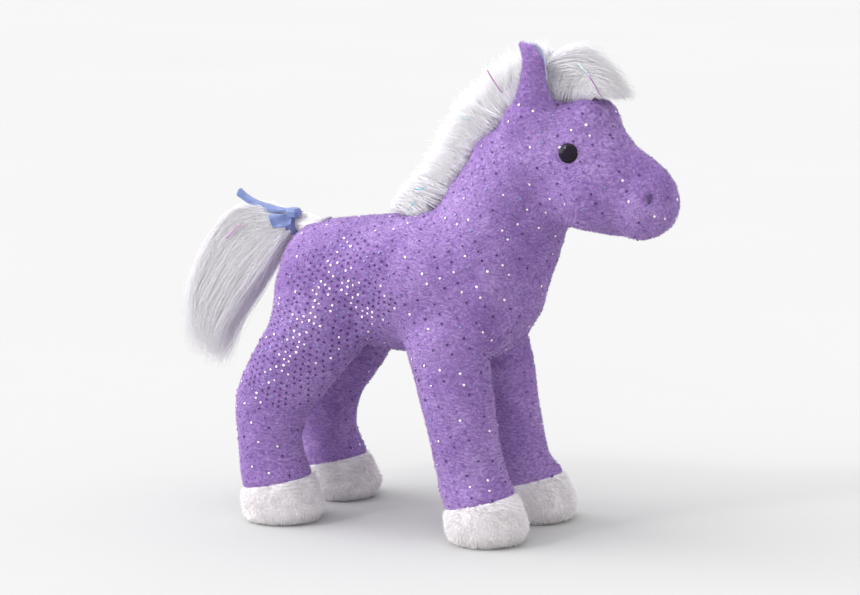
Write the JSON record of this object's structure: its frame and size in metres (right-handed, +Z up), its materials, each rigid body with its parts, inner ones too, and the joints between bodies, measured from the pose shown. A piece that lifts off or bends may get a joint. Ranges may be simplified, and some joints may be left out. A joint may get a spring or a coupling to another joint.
{
  "type": "plush pony",
  "caption": "Standing stuffed toy pony with jointed soft limbs, long-pile mane, forelock and tail, and a ribbon tied round the tail.",
  "frame": {"origin": "on the floor under the middle of the bounding box, midway between the left and right hooves", "axes": "+X towards the nose, +Y towards the toy's left, +Z up"},
  "size_m": [0.2612, 0.094, 0.2258],
  "materials": {
    "velboa": "short purple velboa pile with scattered silver foil dots",
    "hoof_plush": "slightly longer off-white plush pile",
    "stuffing": "white polyester fibre, sealed inside",
    "long_pile": "long white faux-fur pile with a few strands of tinsel",
    "backing_tape": "plain knitted backing",
    "ear_lining": "smooth pale iridescent satin",
    "satin_ribbon": "blue woven satin",
    "eye_plastic": "polished black",
    "washer_plastic": "white moulded plastic",
    "embroidery_thread": "dark purple embroidery thread"
  },
  "bodies": {
    "torso": {"torso_panel_left": "velboa", "torso_panel_right": "velboa", "belly_gusset": "velboa", "torso_stuffing": "stuffing"},
    "neck": {"neck_panel_left": "velboa", "neck_panel_right": "velboa", "neck_stuffing": "stuffing", "mane_tape": "backing_tape", "mane_pile": "long_pile"},
    "head": {"head_panel_left": "velboa", "eye_left": "eye_plastic", "eye_washer_left": "washer_plastic", "nostril_stitch_left": "embroidery_thread", "head_panel_right": "velboa", "eye_right": "eye_plastic", "eye_washer_right": "washer_plastic", "nostril_stitch_right": "embroidery_thread", "head_gusset": "velboa", "head_stuffing": "stuffing", "poll_tape": "backing_tape", "poll_pile": "long_pile", "forelock_tape": "backing_tape", "forelock_pile": "long_pile"},
    "ear_left": {"ear_outer_left": "velboa", "ear_lining_left": "ear_lining"},
    "ear_right": {"ear_outer_right": "velboa", "ear_lining_right": "ear_lining"},
    "leg_front_left": {"leg_outer_panel_front_left": "velboa", "leg_inner_panel_front_left": "velboa", "leg_stuffing_front_left": "stuffing", "hoof_cover_front_left": "hoof_plush", "hoof_sole_front_left": "hoof_plush"},
    "leg_front_right": {"leg_outer_panel_front_right": "velboa", "leg_inner_panel_front_right": "velboa", "leg_stuffing_front_right": "stuffing", "hoof_cover_front_right": "hoof_plush", "hoof_sole_front_right": "hoof_plush"},
    "leg_hind_left": {"leg_outer_panel_hind_left": "velboa", "leg_inner_panel_hind_left": "velboa", "leg_stuffing_hind_left": "stuffing", "hoof_cover_hind_left": "hoof_plush", "hoof_sole_hind_left": "hoof_plush"},
    "leg_hind_right": {"leg_outer_panel_hind_right": "velboa", "leg_inner_panel_hind_right": "velboa", "leg_stuffing_hind_right": "stuffing", "hoof_cover_hind_right": "hoof_plush", "hoof_sole_hind_right": "hoof_plush"},
    "tail_root": {"tail_dock": "long_pile", "ribbon_band": "satin_ribbon", "ribbon_knot": "satin_ribbon"},
    "tail_switch": {"tail_switch": "long_pile"},
    "ribbon_streamer": {"ribbon_streamer": "satin_ribbon"},
    "ribbon_short_end": {"ribbon_short_end": "satin_ribbon"}
  },
  "joints": [
    {"name": "shoulder_left", "type": "hinge", "parent": "torso", "child": "leg_front_left", "pos_m": [0.026, 0.025, 0.086], "axis": [0, 1, 0], "range_deg": [-12, 12], "stiffness_Nm_per_rad": 0.4},
    {"name": "shoulder_right", "type": "hinge", "parent": "torso", "child": "leg_front_right", "pos_m": [0.026, -0.025, 0.086], "axis": [0, 1, 0], "range_deg": [-12, 12], "stiffness_Nm_per_rad": 0.4},
    {"name": "hip_left", "type": "hinge", "parent": "torso", "child": "leg_hind_left", "pos_m": [-0.042, 0.024, 0.091], "axis": [0, 1, 0], "range_deg": [-12, 12], "stiffness_Nm_per_rad": 0.4},
    {"name": "hip_right", "type": "hinge", "parent": "torso", "child": "leg_hind_right", "pos_m": [-0.042, -0.024, 0.091], "axis": [0, 1, 0], "range_deg": [-12, 12], "stiffness_Nm_per_rad": 0.4},
    {"name": "neck_bend", "type": "hinge", "parent": "torso", "child": "neck", "pos_m": [0.034, 0, 0.132], "axis": [0, 1, 0], "range_deg": [-4, 8], "stiffness_Nm_per_rad": 0.8},
    {"name": "head_nod", "type": "hinge", "parent": "neck", "child": "head", "pos_m": [0.062, 0, 0.172], "axis": [0, 1, 0], "range_deg": [-8, 8], "stiffness_Nm_per_rad": 0.5},
    {"name": "ear_left_lean", "type": "hinge", "parent": "head", "child": "ear_left", "pos_m": [0.0636, 0.012, 0.197], "axis": [-1, 0, 0], "range_deg": [-8, 20], "stiffness_Nm_per_rad": 0.004},
    {"name": "ear_right_lean", "type": "hinge", "parent": "head", "child": "ear_right", "pos_m": [0.0636, -0.012, 0.197], "axis": [1, 0, 0], "range_deg": [-8, 20], "stiffness_Nm_per_rad": 0.004},
    {"name": "tail_root_lift", "type": "hinge", "parent": "torso", "child": "tail_root", "pos_m": [-0.061, 0, 0.1366], "axis": [0, 1, 0], "range_deg": [-8, 10], "stiffness_Nm_per_rad": 0.1},
    {"name": "tail_switch_swing", "type": "hinge", "parent": "tail_root", "child": "tail_switch", "pos_m": [-0.0782, 0, 0.1347], "axis": [0, 1, 0], "range_deg": [-2, 14], "stiffness_Nm_per_rad": 0.05},
    {"name": "streamer_flex", "type": "hinge", "parent": "tail_root", "child": "ribbon_streamer", "pos_m": [-0.0665, -0.0046, 0.143], "axis": [0, 1, 0], "range_deg": [-4, 18], "stiffness_Nm_per_rad": 0.0003},
    {"name": "short_end_flex", "type": "hinge", "parent": "tail_root", "child": "ribbon_short_end", "pos_m": [-0.0665, -0.0076, 0.137], "axis": [0, 0, 1], "range_deg": [0, 25], "stiffness_Nm_per_rad": 0.0003}
  ]
}
